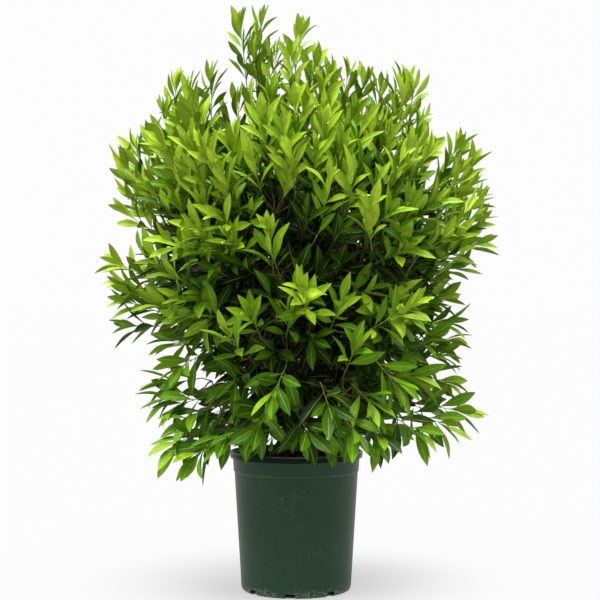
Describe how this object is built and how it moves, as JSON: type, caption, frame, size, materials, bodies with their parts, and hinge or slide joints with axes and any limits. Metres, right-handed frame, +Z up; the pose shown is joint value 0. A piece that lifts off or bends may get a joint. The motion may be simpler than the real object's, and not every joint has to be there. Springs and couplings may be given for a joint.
{
  "type": "potted buttonwood shrub",
  "caption": "Bushy buttonwood shrub with narrow glossy leaves on several stems, standing in a round plastic nursery pot filled with soil.",
  "frame": {"origin": "centre of the pot's flat underside, on the surface that the plant stands on", "axes": "+Z up along the pot's axis, -Y towards the side that the picture shows, +X to its right"},
  "size_m": [0.772, 0.7389, 1.124],
  "materials": {
    "pot": "satin",
    "soil": "rough",
    "bark": "rough",
    "foliage": "satin"
  },
  "bodies": {
    "root": {"pot": "pot", "soil": "soil", "trunk": "bark", "stem_1": "bark", "stem_2": "bark", "stem_3": "bark", "stem_4": "bark", "stem_5": "bark", "stem_6": "bark", "bough_skirt_1": "bark", "bough_skirt_2": "bark", "bough_skirt_3": "bark", "bough_skirt_4": "bark", "bough_skirt_5": "bark", "bough_skirt_6": "bark", "bough_waist_1": "bark", "bough_waist_2": "bark", "bough_waist_3": "bark", "bough_waist_4": "bark", "bough_waist_5": "bark", "bough_waist_6": "bark", "bough_waist_7": "bark", "bough_waist_8": "bark", "bough_shoulder_1": "bark", "bough_shoulder_2": "bark", "bough_shoulder_3": "bark", "bough_shoulder_4": "bark", "bough_shoulder_5": "bark", "bough_shoulder_6": "bark", "foliage_leader_1": "foliage", "foliage_leader_2": "foliage", "foliage_leader_3": "foliage", "foliage_leader_4": "foliage", "foliage_leader_5": "foliage", "foliage_leader_6": "foliage", "foliage_skirt_1": "foliage", "foliage_skirt_2": "foliage", "foliage_skirt_3": "foliage", "foliage_skirt_4": "foliage", "foliage_skirt_5": "foliage", "foliage_skirt_6": "foliage", "foliage_waist_1": "foliage", "foliage_waist_2": "foliage", "foliage_waist_3": "foliage", "foliage_waist_4": "foliage", "foliage_waist_5": "foliage", "foliage_waist_6": "foliage", "foliage_waist_7": "foliage", "foliage_waist_8": "foliage", "foliage_shoulder_1": "foliage", "foliage_shoulder_2": "foliage", "foliage_shoulder_3": "foliage", "foliage_shoulder_4": "foliage", "foliage_shoulder_5": "foliage", "foliage_shoulder_6": "foliage"}
  },
  "joints": []
}
